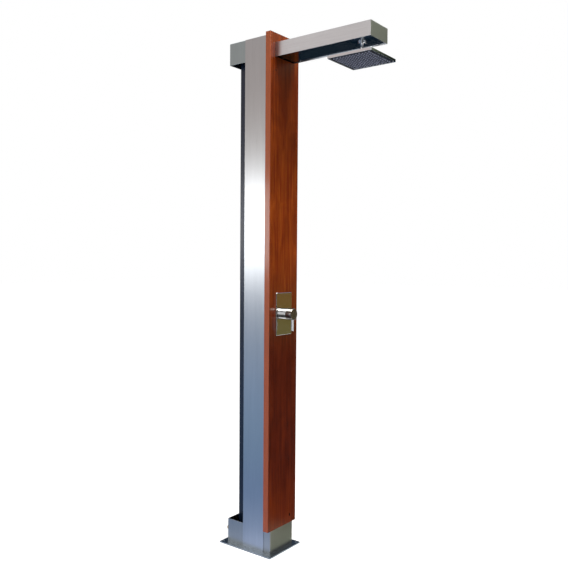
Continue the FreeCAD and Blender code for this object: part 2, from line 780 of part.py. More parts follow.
def make_inlets():
    """Threaded nipples through the collar's back, and braided hoses from them up to the mixer."""
    names = {"left": "hot", "right": "cold"}
    backnuts = []
    nuts = []
    for name, side in SIDES.items():
        y = f"{side} * inlet_spread"
        nipple = turned([
            ("nipple_bore", "-nipple_out"), ("thread_radius", "-nipple_out"),
            ("thread_radius", "-nipple_flange_thick"), ("nipple_flange", "-nipple_flange_thick"),
            ("nipple_flange", "0"), ("thread_radius", "0"), ("thread_radius", "nipple_in"),
            ("nipple_bore", "nipple_in")], ("collar_back", y, "inlet_height"), "x")
        keep(nipple, f"inlet_{names[name]}")
        backnuts.append(cut(hexagon("backnut_radius", "backnut_thick",
                                    ("collar_back + collar_sheet", y, "inlet_height"), "x"),
                            rod("thread_radius + thread_gap", "backnut_thick",
                                ("collar_back + collar_sheet", y, "inlet_height"), "x")))
        outside = bent_tube("hose_radius", ("hose_start", y, "inlet_height"), "pipe_x", "hose_top", False)
        bore = bent_tube("hose_bore", ("hose_start", y, "inlet_height"), "pipe_x", "hose_top", False)
        keep(cut(outside, bore), f"hose_{names[name]}")
        nuts.append(union_nut(("hose_start - nut_grip", y, "inlet_height"), "hose_radius", "x", False))
        nuts.append(union_nut(("pipe_x", y, "hose_top + nut_grip - nut_length"), "hose_radius", "z", True))
    keep(group(backnuts), "inlet_backnuts")
    keep(group(nuts), "hose_nuts")


def make_mixer_body():
    """The cast body behind the board: water arms, ears screwed to the board and the cartridge's nose."""
    shell = turned([
        ("0", "valve_back"), ("valve_radius - valve_chamfer", "valve_back"),
        ("valve_radius", "valve_back + valve_chamfer"), ("valve_radius", "board_back - ear_thick / 2"),
        ("nose_radius", "board_back - ear_thick / 2"), ("nose_radius", "nose_front"),
        ("cartridge_radius + fit_gap", "nose_front"), ("cartridge_radius + fit_gap", "cartridge_back"),
        ("0", "cartridge_back")], ("0", "0", "valve_height"), "x")
    half = "ear_width / 2"
    ears = prism("ear_thick", [rectangle(f"-{half}", "-ear_height / 2", half, "ear_height / 2")],
                 [(y, z.replace("valve_height + ", ""), "wood_screw_dia / 2 + thread_gap")
                  for y, z in ear_screw_places()] + [("0", "0", "nose_radius - valve_chamfer")],
                 ("board_back - ear_thick", "0", "valve_height"), "x")
    arms = [rod("arm_radius", "2 * inlet_spread", ("pipe_x", "-inlet_spread", "valve_height"), "y"),
            rod("thread_radius", "outlet_leg", ("pipe_x", "0", "valve_height"))]
    bores = [rod("water_bore", "outlet_leg", ("pipe_x", "0", "valve_height + water_bore / 3")),
             rod("port_radius", "cartridge_back - pipe_x",
                 ("pipe_x", "0", "valve_height + port_offset"), "x")]
    for side in SIDES.values():
        y = f"{side} * inlet_spread"
        arms.append(ball("arm_radius", ("pipe_x", y, "valve_height")))
        arms.append(rod("thread_radius", "inlet_leg", ("pipe_x", y, "valve_height - inlet_leg")))
        bores.append(fuse(rod("water_bore", "inlet_leg", ("pipe_x", y, "valve_height - inlet_leg")),
                          ball("water_bore", ("pipe_x", y, "valve_height")),
                          rod("water_bore", "inlet_spread - port_offset",
                              ("pipe_x", y if side == "-1" else "port_offset", "valve_height"), "y")))
        bores.append(rod("port_radius", "cartridge_back - pipe_x",
                         ("pipe_x", f"{side} * port_offset", "valve_height"), "x"))
    keep(cut(fuse(shell, ears, *arms), *bores), "mixer_body")
    keep(group([screw("wood_screw_dia", "ear_thick + wood_screw_reach", ("board_back - ear_thick", y, z), "x")
                for y, z in ear_screw_places()]), "mixer_screws")


def make_trim():
    """What shows round the valve: gasket, rectangular rosette, O-ring and sleeve."""
    def oblong(margin):
        across = f"rosette_width / 2 - {margin}"
        up = f"rosette_height / 2 - {margin}"
        return rectangle(f"-({across})", f"-({up})", across, up)

    at = ("board_front", "0", "valve_height")
    gasket = prism("gasket_thick", [oblong("gasket_margin")],
                   [("0", "0", "board_hole_dia / 2")], at, "x")
    keep(gasket, "plate_gasket")
    rosette = new_body(("board_front + gasket_thick", "0", "valve_height"), "x")
    pad(rosette, "rosette_thick", [oblong("0")])
    soften(rosette, "rosette_corner", lambda edge: runs_along(edge, Z))
    soften(rosette, "rosette_bevel", lambda edge: reaches(edge, Z, "rosette_thick"), "Chamfer")
    pocket(rosette, "rosette_thick", circles=[("0", "0", "sleeve_radius + fit_gap")])
    keep(rosette, "mixer_plate")

    ring = bind(DOC.addObject("Part::Torus", "Ring"), Radius1="sleeve_radius + ring_section + slip_gap",
                Radius2="ring_section")
    place(ring, ("board_front + gasket_thick - ring_section - slip_gap", "0", "valve_height"), "x")
    keep(ring, "sleeve_o_ring")
    inner = "sleeve_radius - sleeve_wall"
    sleeve = turned([(inner, "board_front - sleeve_tuck"), ("sleeve_radius", "board_front - sleeve_tuck"),
                     ("sleeve_radius", "sleeve_front - sleeve_wall"), (f"{inner} + 0.2", "sleeve_front"),
                     (inner, "sleeve_front")], ("0", "0", "valve_height"), "x")
    keep(sleeve, "mixer_sleeve")


def make_cartridge():
    """A ceramic-disc cartridge: the carrier turns for heat, the spindle rocks in it for flow."""
    at = ("0", "0", "valve_height")
    chamber = "cartridge_radius - cartridge_wall"
    housing = turned([
        ("0", "cartridge_back"), ("cartridge_radius", "cartridge_back"),
        ("cartridge_radius", "cartridge_front"), ("cartridge_mouth", "cartridge_front"),
        ("cartridge_mouth", "cartridge_front - cartridge_lip"),
        ("carrier_radius + fit_gap", "cartridge_front - cartridge_lip"),
        ("carrier_radius + fit_gap", "carrier_back"), (chamber, "carrier_back - fit_gap"),
        (chamber, "disc_back"), ("0", "disc_back")], at, "x")
    spots = [("-port_offset", "valve_height"), ("port_offset", "valve_height"),
             ("0", "valve_height + port_offset")]
    floor_ports = [rod("port_radius", "cartridge_floor", ("cartridge_back", y, z), "x") for y, z in spots]
    keep(cut(housing, *floor_ports), "cartridge_housing")
    disc = rod("disc_radius", "disc_thick", ("disc_back", "0", "valve_height"), "x")
    disc_ports = [rod("port_radius", "disc_thick", ("disc_back", y, z), "x") for y, z in spots]
    keep(cut(disc, *disc_ports), "fixed_disc")
    slider = rod("slider_radius", "slider_thick", ("slider_back", "0", "valve_height"), "x")
    pocket_round = rod("spindle_ball + fit_gap", "slider_pocket",
                       ("slider_front - slider_pocket", "0", "valve_height"), "x")
    keep(cut(slider, pocket_round), "moving_disc")

    carrier = rod("carrier_radius", "carrier_length", ("carrier_back", "0", "valve_height"), "x")
    slot = block(("carrier_back", "-spindle_width / 2 - slip_gap * 2", "valve_height - carrier_slot / 2"),
                 ("carrier_length", "spindle_width + 4 * slip_gap", "carrier_slot"))
    pin_at = ("pivot_x", "-pivot_pin_length / 2", "valve_height")
    pin_hole = rod("pivot_pin_dia / 2", "pivot_pin_length", pin_at, "y")
    keep(cut(carrier, slot, pin_hole), "cartridge_carrier")
    keep(rod("pivot_pin_dia / 2", "pivot_pin_length", pin_at, "y"), "pivot_pin")

    eye = rod("spindle_height / 2", "spindle_width", ("pivot_x", "-spindle_width / 2", "valve_height"), "y")
    shank = block(("pivot_x", "-spindle_width / 2", "valve_height - spindle_height / 2"),
                  ("handle_back + handle_cavity + socket_depth - pivot_x", "spindle_width",
                   "spindle_height"))
    neck = rod("spindle_neck", "spindle_arm", ("pivot_x - spindle_arm", "0", "valve_height"), "x")
    tip = ball("spindle_ball", ("pivot_x - spindle_arm", "0", "valve_height"))
    eye_hole = rod("pivot_pin_dia / 2 + slip_gap", "spindle_width",
                   ("pivot_x", "-spindle_width / 2", "valve_height"), "y")
    keep(cut(fuse(eye, shank, neck, tip), eye_hole), "spindle")

    outside = "sleeve_radius - sleeve_wall - fit_gap"
    thread = "nose_radius + thread_gap"
    skirt = "nose_front - nose_setback"
    dome = "sleeve_front + dome_proud"
    nut = turned([
        (thread, skirt), (outside, skirt), (outside, "sleeve_front - sleeve_wall"),
        ("(sleeve_radius + dome_face) / 2", "sleeve_front + dome_proud / 2"), ("dome_face", dome),
        ("cartridge_mouth", dome), ("cartridge_mouth", "cartridge_front"),
        (thread, "cartridge_front")], at, "x")
    keep(nut, "cartridge_nut")


def make_handle():
    """A round handle on the spindle's square, held by the pin lever that screws in from below."""
    inner = "handle_radius - handle_wall"
    deep = "handle_back + handle_cavity"
    knob = turned([
        (inner, "handle_back"), ("handle_radius", "handle_back"),
        ("handle_radius", "handle_front - handle_round"), ("handle_radius - handle_round", "handle_front"),
        ("0", "handle_front"), ("0", deep), (inner, deep)], ("0", "0", "valve_height"), "x")
    socket = block((deep, "-spindle_width / 2 - slip_gap", "valve_height - spindle_height / 2 - slip_gap"),
                   ("socket_depth + slip_gap", "spindle_width + 2 * slip_gap",
                    "spindle_height + 2 * slip_gap"))
    lever_x = "handle_front - lever_setback"
    hole = rod("lever_radius + slip_gap", "handle_radius",
               (lever_x, "0", "valve_height - spindle_height / 2 - slip_gap - handle_radius"))
    keep(cut(knob, socket, hole), "handle_knob")
    reach = "lever_drop - spindle_height / 2 - 2 * slip_gap"
    lever = turned([("0", "0"), ("lever_radius - lever_round", "0"), ("lever_radius", "lever_round"),
                    ("lever_radius", reach), ("0", reach)], (lever_x, "0", "valve_height - lever_drop"))
    keep(lever, "lever_pin")


def make_riser():
    """The pipe from the mixer to the arm, its union nuts and the clips on the board's back."""
    start = ("pipe_x", "0", "riser_start")
    outside = bent_tube("riser_radius", start, "riser_z", "riser_end", True)
    bore = bent_tube("riser_radius - riser_wall", start, "riser_z", "riser_end", True)
    keep(cut(outside, bore), "riser_pipe")
    nuts = [union_nut(("pipe_x", "0", "riser_start - nut_grip"), "riser_radius", "z", False),
            union_nut(("riser_end + nut_grip - nut_length", "0", "riser_z"), "riser_radius", "x", True)]
    keep(group(nuts), "riser_nuts")
    clips = []
    for level in ("riser_start + clip_inset", "riser_z - pipe_bend - clip_inset - clip_height"):
        low = "pipe_x - riser_radius - clip_back / 2"
        clips.append(prism("clip_height", [rectangle(low, "-clip_width / 2", "board_back", "clip_width / 2")],
                           [("pipe_x", "0", "riser_radius + thread_gap")], ("0", "0", level)))
    keep(group(clips), "riser_clips")


def make_drop():
    """The elbow in the arm, the drop pipe and the nuts that clamp it to the cover."""
    solid = fuse(ball("elbow_radius", ("drop_x", "0", "riser_z")),
                 rod("thread_radius", "elbow_stub", ("drop_x - elbow_stub", "0", "riser_z"), "x"),
                 rod("thread_radius", "elbow_leg", ("drop_x", "0", "riser_z - elbow_leg")))
    water = fuse(ball("elbow_bore", ("drop_x", "0", "riser_z")),
                 rod("elbow_bore", "elbow_stub", ("drop_x - elbow_stub", "0", "riser_z"), "x"),
                 rod("elbow_bore", "elbow_leg", ("drop_x", "0", "riser_z - elbow_leg")))
    socket = rod("drop_radius + slip_gap", "elbow_socket", ("drop_x", "0", "riser_z - elbow_leg"))
    keep(cut(solid, water, socket), "drop_elbow")
    low = "stem_bottom + stem_length - stem_socket"
    high = "riser_z - elbow_leg + elbow_socket - slip_gap"
    keep(turned([("drop_radius - drop_wall", low), ("drop_radius", low), ("drop_radius", high),
                 ("drop_radius - drop_wall", high)], ("drop_x", "0", "0")), "drop_pipe")
    bore = "drop_radius + slip_gap"
    keep(turned([(bore, "-locknut_thick"), ("locknut_radius - locknut_round", "-locknut_thick"),
                 ("locknut_radius", "locknut_round - locknut_thick"), ("locknut_radius", "0"), (bore, "0")],
                ("drop_x", "0", "cover_bottom")), "drop_locknut")
    inner_nut = cut(hexagon("nut_radius", "locknut_thick", ("drop_x", "0", "cover_top")),
                    rod(bore, "locknut_thick", ("drop_x", "0", "cover_top")))
    keep(inner_nut, "drop_backnut")


def sphere_band(inner, outer, low, high):
    """A ring cut from a thick sphere about the ball's centre, between two latitudes."""
    at = ("drop_x", "0", "ball_z")
    band = place(bind(DOC.addObject("Part::Sphere", "Band"), Radius=outer, Angle1=low, Angle2=high), at)
    return cut(band, ball(inner, at))


def make_swivel():
    """The ball joint: ball stem on the drop pipe, two spherical washers and the nut on the head."""
    at = ("drop_x", "0", "ball_z")
    stem = fuse(ball("ball_radius", at), rod("neck_radius", "neck_top", at),
                rod("stem_radius", "stem_length", ("drop_x", "0", "stem_bottom")))
    water = rod("ball_bore", "2 * ball_radius + neck_top + stem_length",
                ("drop_x", "0", "ball_z - ball_radius"))
    socket = rod("drop_radius + slip_gap", "stem_socket",
                 ("drop_x", "0", "stem_bottom + stem_length - stem_socket"))
    keep(cut(stem, water, socket), "ball_stem")
    inside = "ball_radius + seat_gap"
    outside = "ball_radius + seat_gap + seat_wall"
    keep(sphere_band(inside, outside, "washer_low", "washer_high"), "swivel_washer")
    keep(sphere_band(inside, outside, "-seat_low", "-seat_high"), "ball_seat")
    cavity = f"{outside} + fit_gap"
    thread = "boss_radius + thread_gap"
    low = "head_top + swivel_lift - ball_z"
    nut = turned([
        (thread, low), ("swivel_radius", low), ("swivel_radius", "swivel_top - swivel_round"),
        ("swivel_radius - swivel_round", "swivel_top"), ("0", "swivel_top"), ("0", "-swivel_thread_top"),
        (thread, "-swivel_thread_top")], at)
    keep(cut(nut, ball(cavity, at)), "swivel_nut")
    return cavity


def make_head(cavity):
    """A square shell with the swivel's boss, and the screwed-in face with its silicone nozzles."""
    at = ("drop_x", "0", "head_bottom")
    half = "head_size / 2"
    shell = new_body(at)
    pad(shell, "head_rim", [rectangle(f"-{half}", f"-{half}", half, half)])
    soften(shell, "head_corner", lambda edge: runs_along(edge, Z))
    soften(shell, "head_round", lambda edge: reaches(edge, Z, "head_rim"))
    inner = f"{half} - head_wall"
    pocket(shell, "ledge_z - head_bottom", [rectangle(f"-({inner})", f"-({inner})", inner, inner)])
    pocket(shell, "head_rim - head_roof",
           [rectangle("-(chamber_half)", "-(chamber_half)", "chamber_half", "chamber_half")])
    boss = rod("boss_radius", "boss_height + head_roof", ("drop_x", "0", "head_top - head_roof"))
    cup = ball(cavity, ("drop_x", "0", "ball_z"))
    way = rod("elbow_bore", "ball_rise", ("drop_x", "0", "head_bottom"))
    corners = [(f"{x} * face_screw_at", f"{y} * face_screw_at") for x in (-1, 1) for y in (-1, 1)]
    taps = [rod("face_screw_dia / 2 + slip_gap", "face_screw_reach",
                (f"drop_x + {x}", y, "face_bottom")) for x, y in corners]
    keep(cut(fuse(shell, boss), cup, way, *taps), "head_shell")

    screw_holes = [(x, y, "face_screw_dia / 2 + thread_gap") for x, y in corners]
    outer = rectangle("-face_half", "-face_half", "face_half", "face_half")
    open_middle = rectangle("-chamber_half", "-chamber_half", "chamber_half", "chamber_half")
    keep(prism("seal_thick", [outer, open_middle], screw_holes, ("drop_x", "0", "mat_top")), "head_seal")
    mat = prism("mat_thick", [outer], screw_holes, ("drop_x", "0", "face_top"))
    nozzle = pad(mat, "nozzle_length", [first_nozzle("nozzle_radius")], lift="-nozzle_length")
    repeat_nozzle(mat, nozzle)
    keep(mat, "nozzle_mat")
    plate = prism("face_thick", [outer], screw_holes, ("drop_x", "0", "face_bottom"))
    hole = pocket(plate, "face_thick", [first_nozzle("nozzle_radius + thread_gap")])
    repeat_nozzle(plate, hole)
    keep(plate, "head_face")
    keep(group([screw("face_screw_dia", "face_screw_reach - thread_gap", (f"drop_x + {x}", y, "face_bottom"),
                      "z", "face_screw_head") for x, y in corners]), "face_screws")


def first_nozzle(radius):
    """The hexagon of the corner nozzle, or of its hole, in the head's square grid."""
    return [(f"nozzle_corner + ({radius}) * cos({60 * corner})",
             f"nozzle_corner + ({radius}) * sin({60 * corner})") for corner in range(6)]


def repeat_nozzle(body, feature):
    """Repeat the corner nozzle over the whole grid."""
    grid = body.newObject("PartDesign::MultiTransform", "Grid")
    grid.Originals = [feature]
    rows = []
    for axis in ("H_Axis", "V_Axis"):
        row = body.newObject("PartDesign::LinearPattern", "Row")
        row.Direction = (feature.Profile[0], [axis])
        rows.append(bind(row, Length="(nozzle_count - 1) * nozzle_pitch", Occurrences="nozzle_count"))
    grid.Transformations = rows
    body.Tip = grid


def write_parts():
    DOC.recompute()
    for thing in DOC.Objects:
        if "Invalid" in thing.State or "Error" in thing.State:
            raise ValueError(f"{thing.Name} ({thing.Label}) failed: {thing.State}")
    os.makedirs("parts", exist_ok=True)
    for node in NODES:
        shape = node.Shape
        if shape.isNull() or not shape.isValid() or not shape.Solids:
            raise ValueError(f"{node.Label} has no sound solid")
        shape.exportStep(f"parts/{node.Label}.step")
        box = shape.BoundBox
        print(f"{node.Label}: {len(shape.Solids)} solid(s), {shape.Volume / 1000:.1f} cm3, "
              f"x {box.XMin:.1f}..{box.XMax:.1f}, y {box.YMin:.1f}..{box.YMax:.1f}, "
              f"z {box.ZMin:.1f}..{box.ZMax:.1f}")
    print(f"{len(NODES)} nodes")


fill_sheet()
make_base()
make_column()
make_panels()
make_brackets()
make_top_box()
make_arm()
make_board()
make_inlets()
make_mixer_body()
make_trim()
make_cartridge()
make_handle()
make_riser()
make_drop()
make_head(make_swivel())
write_parts()
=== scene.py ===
import math

import bmesh
import bpy
from mathutils import Matrix, Vector


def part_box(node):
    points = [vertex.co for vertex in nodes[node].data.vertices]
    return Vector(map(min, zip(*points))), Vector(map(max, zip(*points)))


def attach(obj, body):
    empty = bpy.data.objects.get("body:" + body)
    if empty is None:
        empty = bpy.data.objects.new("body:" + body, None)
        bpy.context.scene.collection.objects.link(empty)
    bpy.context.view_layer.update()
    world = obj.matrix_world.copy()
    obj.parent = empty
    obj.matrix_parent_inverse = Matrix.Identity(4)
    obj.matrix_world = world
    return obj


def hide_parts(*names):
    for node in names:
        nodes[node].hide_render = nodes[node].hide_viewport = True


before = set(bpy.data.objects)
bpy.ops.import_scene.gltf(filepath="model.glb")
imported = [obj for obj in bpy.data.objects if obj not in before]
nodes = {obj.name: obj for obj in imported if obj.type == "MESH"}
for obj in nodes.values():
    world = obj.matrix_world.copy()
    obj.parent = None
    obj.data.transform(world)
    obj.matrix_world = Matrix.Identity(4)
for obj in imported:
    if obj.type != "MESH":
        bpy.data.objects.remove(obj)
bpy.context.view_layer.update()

# ---- Camera ----
# It stands 3 m from the post at chest height, in front of it and to its left, as the photograph's did.
# The place and the lens were worked out from the edges that the photograph shows.
camera_place = Vector((1.9104, -2.3370, 1.2823))
camera_heading, camera_pitch, camera_roll = 37.33, -1.99, 0.40
camera = bpy.data.objects.new("camera", bpy.data.cameras.new("camera"))
bpy.context.scene.collection.objects.link(camera)
camera.data.lens = 42.61
camera.data.sensor_width = 36
camera.matrix_world = (
    Matrix.Translation(camera_place)
    @ Matrix.Rotation(math.radians(camera_heading), 4, "Z")
    @ Matrix.Rotation(math.radians(90 + camera_pitch), 4, "X")
    @ Matrix.Rotation(math.radians(camera_roll), 4, "Z")
)
bpy.context.scene.camera = camera
bpy.context.scene.view_settings.view_transform = "Standard"

# ---- Studio ----
# A white room on white paper, which keeps the post's soft shadow. The world is white where it is looked
# at or mirrored, and lights the rest evenly. Two softboxes add their light, and cards that only
# polished surfaces see give the steel something to mirror.
daylight = 0.44
paper_white = 0.84
paper_glow = 0.68


def seen_directly(tree):
    """1 for rays that come from the camera, a mirror or glass, and 0 for the rays of soft light."""
    path = tree.nodes.new("ShaderNodeLightPath")
    total = path.outputs["Is Camera Ray"]
    for ray in ("Is Glossy Ray", "Is Transmission Ray"):
        total = worked(tree, "MAXIMUM", total, path.outputs[ray])
    return total


def worked(tree, operation, *values):
    """One step of arithmetic in a material."""
    step = tree.nodes.new("ShaderNodeMath")
    step.operation = operation
    for value, socket in zip(values, step.inputs):
        if isinstance(value, bpy.types.NodeSocket):
            tree.links.new(value, socket)
        else:
            socket.default_value = value
    return step.outputs[0]


def scaled(tree, factor, low, high, start=0.0, end=1.0):
    """A number that runs from low to high while a factor runs from start to end."""
    spread = tree.nodes.new("ShaderNodeMapRange")
    tree.links.new(factor, spread.inputs["Value"])
    for socket, value in (("From Min", start), ("From Max", end), ("To Min", low), ("To Max", high)):
        spread.inputs[socket].default_value = value
    return spread.outputs["Result"]


world = bpy.data.worlds.new("studio")
world.use_nodes = True
bpy.context.scene.world = world
sky = world.node_tree.nodes["Background"]
sky.inputs["Color"].default_value = (1, 1, 1, 1)
world.node_tree.links.new(scaled(world.node_tree, seen_directly(world.node_tree), daylight, 1.0),
                          sky.inputs["Strength"])


def flat_mesh(name, corners):
    """A flat sheet with the given corners."""
    mesh = bpy.data.meshes.new(name)
    mesh.from_pydata(corners, [], [tuple(range(len(corners)))])
    sheet = bpy.data.objects.new(name, mesh)
    bpy.context.scene.collection.objects.link(sheet)
    return sheet


def level(low_x, high_x, low_y, high_y, height):
    """The corners of a level rectangle."""
    return [(low_x, low_y, height), (high_x, low_y, height),
            (high_x, high_y, height), (low_x, high_y, height)]


floor_half, floor_drop = 30, 0.0004
floor = flat_mesh("floor", level(-floor_half, floor_half, -floor_half, floor_half, -floor_drop))
paper = bpy.data.materials.new("paper")
paper.use_nodes = True
paper_tree = paper.node_tree
paper_skin = paper_tree.nodes["Principled BSDF"]
paper_skin.inputs["Base Color"].default_value = (paper_white, paper_white, paper_white, 1)
paper_skin.inputs["Roughness"].default_value = 1
paper_skin.inputs["Specular IOR Level"].default_value = 0
paper_skin.inputs["Emission Color"].default_value = (1, 1, 1, 1)
paper_tree.links.new(scaled(paper_tree, seen_directly(paper_tree), 0, paper_glow),
                     paper_skin.inputs["Emission Strength"])
floor.data.materials.append(paper)


def soft_light(name, place, aim, width, height, power, colour):
    """A rectangular softbox that faces a point."""
    lamp = bpy.data.lights.new(name, "AREA")
    lamp.shape = "RECTANGLE"
    lamp.size, lamp.size_y = width, height
    lamp.energy = power
    lamp.color = colour
    box = bpy.data.objects.new(name, lamp)
    bpy.context.scene.collection.objects.link(box)
    box.location = place
    box.rotation_euler = (Vector(aim) - Vector(place)).to_track_quat("-Z", "Y").to_euler()


soft_light("window", (-2.25, -2.75, 1.60), (0, 0, 1.45), 3.4, 0.80, 34, (1, 1, 1))
soft_light("top_softbox", (2.0, -0.05, 3.6), (0.1, 0, 1.6), 1.3, 1.3, 84, (1, 0.97, 0.93))


def reflector(name, corners, along, stops):
    """A card that only polished surfaces see, coloured by distance along one direction."""
    card = flat_mesh(name, corners)
    card.visible_camera = False
    card.visible_diffuse = False
    card.visible_shadow = False
    material = bpy.data.materials.new(name)
    material.use_nodes = True
    tree = material.node_tree
    tree.nodes.clear()
    spot = tree.nodes.new("ShaderNodeNewGeometry")
    reach = tree.nodes.new("ShaderNodeVectorMath")
    reach.operation = "DOT_PRODUCT"
    reach.inputs[1].default_value = along
    tree.links.new(spot.outputs["Position"], reach.inputs[0])
    low, high = stops[0][0], stops[-1][0]
    glow = tree.nodes.new("ShaderNodeEmission")
    out = tree.nodes.new("ShaderNodeOutputMaterial")
    shares = [((at - low) / (high - low), colour) for at, colour in stops]
    tree.links.new(ramp(tree, scaled(tree, reach.outputs["Value"], 0, 1, low, high), shares),
                   glow.inputs["Color"])
    tree.links.new(glow.outputs["Emission"], out.inputs["Surface"])
    card.data.materials.append(material)


def ramp(tree, factor, stops):
    """Colours along a factor: (place, (r, g, b)) stops."""
    band = tree.nodes.new("ShaderNodeValToRGB")
    for index, (place, colour) in enumerate(stops):
        stop = band.color_ramp.elements[index] if index < 2 else band.color_ramp.elements.new(place)
        stop.position = place
        stop.color = (*colour, 1)
    tree.links.new(factor, band.inputs["Fac"])
    return band.outputs["Color"]


def upright(towards, away, width, low, high):
    """The corners of an upright card that stands away from the post and faces it."""
    across = Vector((-towards[1], towards[0], 0)).normalized() * width / 2
    foot = Vector((towards[0], towards[1], 0)).normalized() * away
    return [foot - across + Vector((0, 0, low)), foot + across + Vector((0, 0, low)),
            foot + across + Vector((0, 0, high)), foot - across + Vector((0, 0, high))]


upward = (0, 0, 1)
side_way, front_way, back_way, camera_way = (-1.88, -2.26), (1.78, 2.34), (-1.6, 2.4), (0.866, -0.5)
near_card, far_card = 4.2, 4.4
card_top, back_foot, back_top = 4.6, 0.01, 6.6
reflector("side_card", upright(side_way, near_card, 7.0, 0, card_top), upward, [
    (0.0, (0.40, 0.56, 0.84)), (0.5, (0.47, 0.58, 0.76)), (1.6, (0.80, 0.82, 0.86)),
    (2.4, (0.98, 0.90, 0.84)), (2.9, (0.72, 0.61, 0.57)), (card_top, (0.72, 0.66, 0.66))])
reflector("front_card", upright(front_way, near_card, 2.0, 0, card_top), upward, [
    (0.0, (0.01, 0.01, 0.01)), (0.38, (0.03, 0.02, 0.01)), (0.50, (0.19, 0.16, 0.06)),
    (0.72, (0.15, 0.12, 0.035)), (0.82, (0.20, 0.11, 0.03)), (0.96, (0.20, 0.12, 0.035)),
    (1.15, (0.01, 0.01, 0.01)), (3.28, (0.004, 0.008, 0.006)), (3.35, (0.33, 0.37, 0.25)),
    (card_top, (0.33, 0.37, 0.25))])
reflector("back_card", upright(back_way, far_card, 8.4, back_foot, back_top), upward, [
    (back_foot, (0.004, 0.018, 0.035)), (1.2, (0.006, 0.02, 0.035)), (2.2, (0.02, 0.04, 0.06)),
    (3.2, (0.20, 0.26, 0.38)), (back_top, (0.24, 0.30, 0.42))])
reflector("camera_card", upright(camera_way, far_card, 2.3, 0, card_top), upward, [
    (0.0, (0.05, 0.05, 0.045)), (card_top, (0.10, 0.10, 0.095))])

card_lift = 0.002
ground_end, ground_split = 5.0, 0.2
plate_front, plate_side = 0.148, 0.113
reflector("side_ground", level(-ground_end, ground_split, -ground_end, -plate_side, card_lift),
          (-0.64, -0.768, 0), [
    (0.08, (0.72, 0.86, 1.20)), (0.30, (0.46, 0.60, 0.90)), (0.75, (0.28, 0.42, 0.71)),
    (1.9, (0.33, 0.51, 0.76)), (4.2, (0.40, 0.56, 0.84))])
front_strip = ((plate_front, -plate_side), (3.75, 3.15), (2.25, 4.60), (plate_front, 0.20))
reflector("front_ground", [(x, y, card_lift) for x, y in front_strip], (0.607, 0.795, 0), [
    (0.1, (0.39, 0.42, 0.34)), (0.32, (0.35, 0.37, 0.28)), (0.46, (0.01, 0.01, 0.01)),
    (4.2, (0.02, 0.02, 0.01))])
reflector("camera_ground", level(ground_split, ground_end, -ground_end, -plate_side, card_lift),
          (0.6, -0.795, 0), [
    (0.2, (0.03, 0.03, 0.03)), (1.5, (0.10, 0.10, 0.10)), (5.0, (0.20, 0.20, 0.19))])

# ---- Base plate and collar ----
# A cut plate with a folded sheet collar welded on it, both brushed stainless steel: long one-way
# hairlines, a slightly uneven sheen and edges rubbed bright.


def shader(name):
    """A new material, its tree of steps and its surface."""
    material = bpy.data.materials.new(name)
    material.use_nodes = True
    return material, material.node_tree, material.node_tree.nodes["Principled BSDF"]


def object_point(tree, scale=(1, 1, 1)):
    """The surface point in metres, stretched by a scale."""
    point = tree.nodes.new("ShaderNodeTexCoord")
    stretch = tree.nodes.new("ShaderNodeMapping")
    stretch.inputs["Scale"].default_value = scale
    tree.links.new(point.outputs["Object"], stretch.inputs["Vector"])
    return stretch.outputs["Vector"]


def noise(tree, scale, detail=3, roughness=0.55, distortion=0.0):
    """Irregular light and dark, finer along an axis the larger its scale."""
    grain = tree.nodes.new("ShaderNodeTexNoise")
    grain.inputs["Scale"].default_value = 1
    grain.inputs["Detail"].default_value = detail
    grain.inputs["Roughness"].default_value = roughness
    grain.inputs["Distortion"].default_value = distortion
    tree.links.new(object_point(tree, scale), grain.inputs["Vector"])
    return grain.outputs["Fac"]


def blended(tree, factor, first, second, kind="MIX"):
    """Two colours, mixed by a factor or multiplied."""
    mix = tree.nodes.new("ShaderNodeMix")
    mix.data_type = "RGBA"
    mix.blend_type = kind
    for value, socket in ((factor, mix.inputs[0]), (first, mix.inputs[6]), (second, mix.inputs[7])):
        if isinstance(value, bpy.types.NodeSocket):
            tree.links.new(value, socket)
        else:
            socket.default_value = (*value, 1) if isinstance(value, tuple) else value
    return mix.outputs[2]


def relief(tree, skin, height, depth, edge):
    """Surface relief from a height, on edges that are eased by a small radius."""
    eased = tree.nodes.new("ShaderNodeBevel")
    eased.samples = 4
    eased.inputs["Radius"].default_value = edge
    bump = tree.nodes.new("ShaderNodeBump")
    bump.inputs["Distance"].default_value = depth
    tree.links.new(eased.outputs["Normal"], bump.inputs["Normal"])
    tree.links.new(height, bump.inputs["Height"])
    tree.links.new(bump.outputs["Normal"], skin.inputs["Normal"])
    return eased.outputs["Normal"]


def rubbed_edges(tree, eased):
    """1 on edges, where hands and cloths rub, and 0 on flat faces."""
    face = tree.nodes.new("ShaderNodeNewGeometry")
    turn = tree.nodes.new("ShaderNodeVectorMath")
    turn.operation = "DOT_PRODUCT"
    tree.links.new(face.outputs["Normal"], turn.inputs[0])
    tree.links.new(eased, turn.inputs[1])
    return scaled(tree, turn.outputs["Value"], 0, 1, 0.999, 0.90)


def along_axis(axis, along, across):
    """A texture scale that is coarse along one axis and fine across it."""
    scale = [across] * 3
    scale["XYZ".index(axis)] = along
    return scale


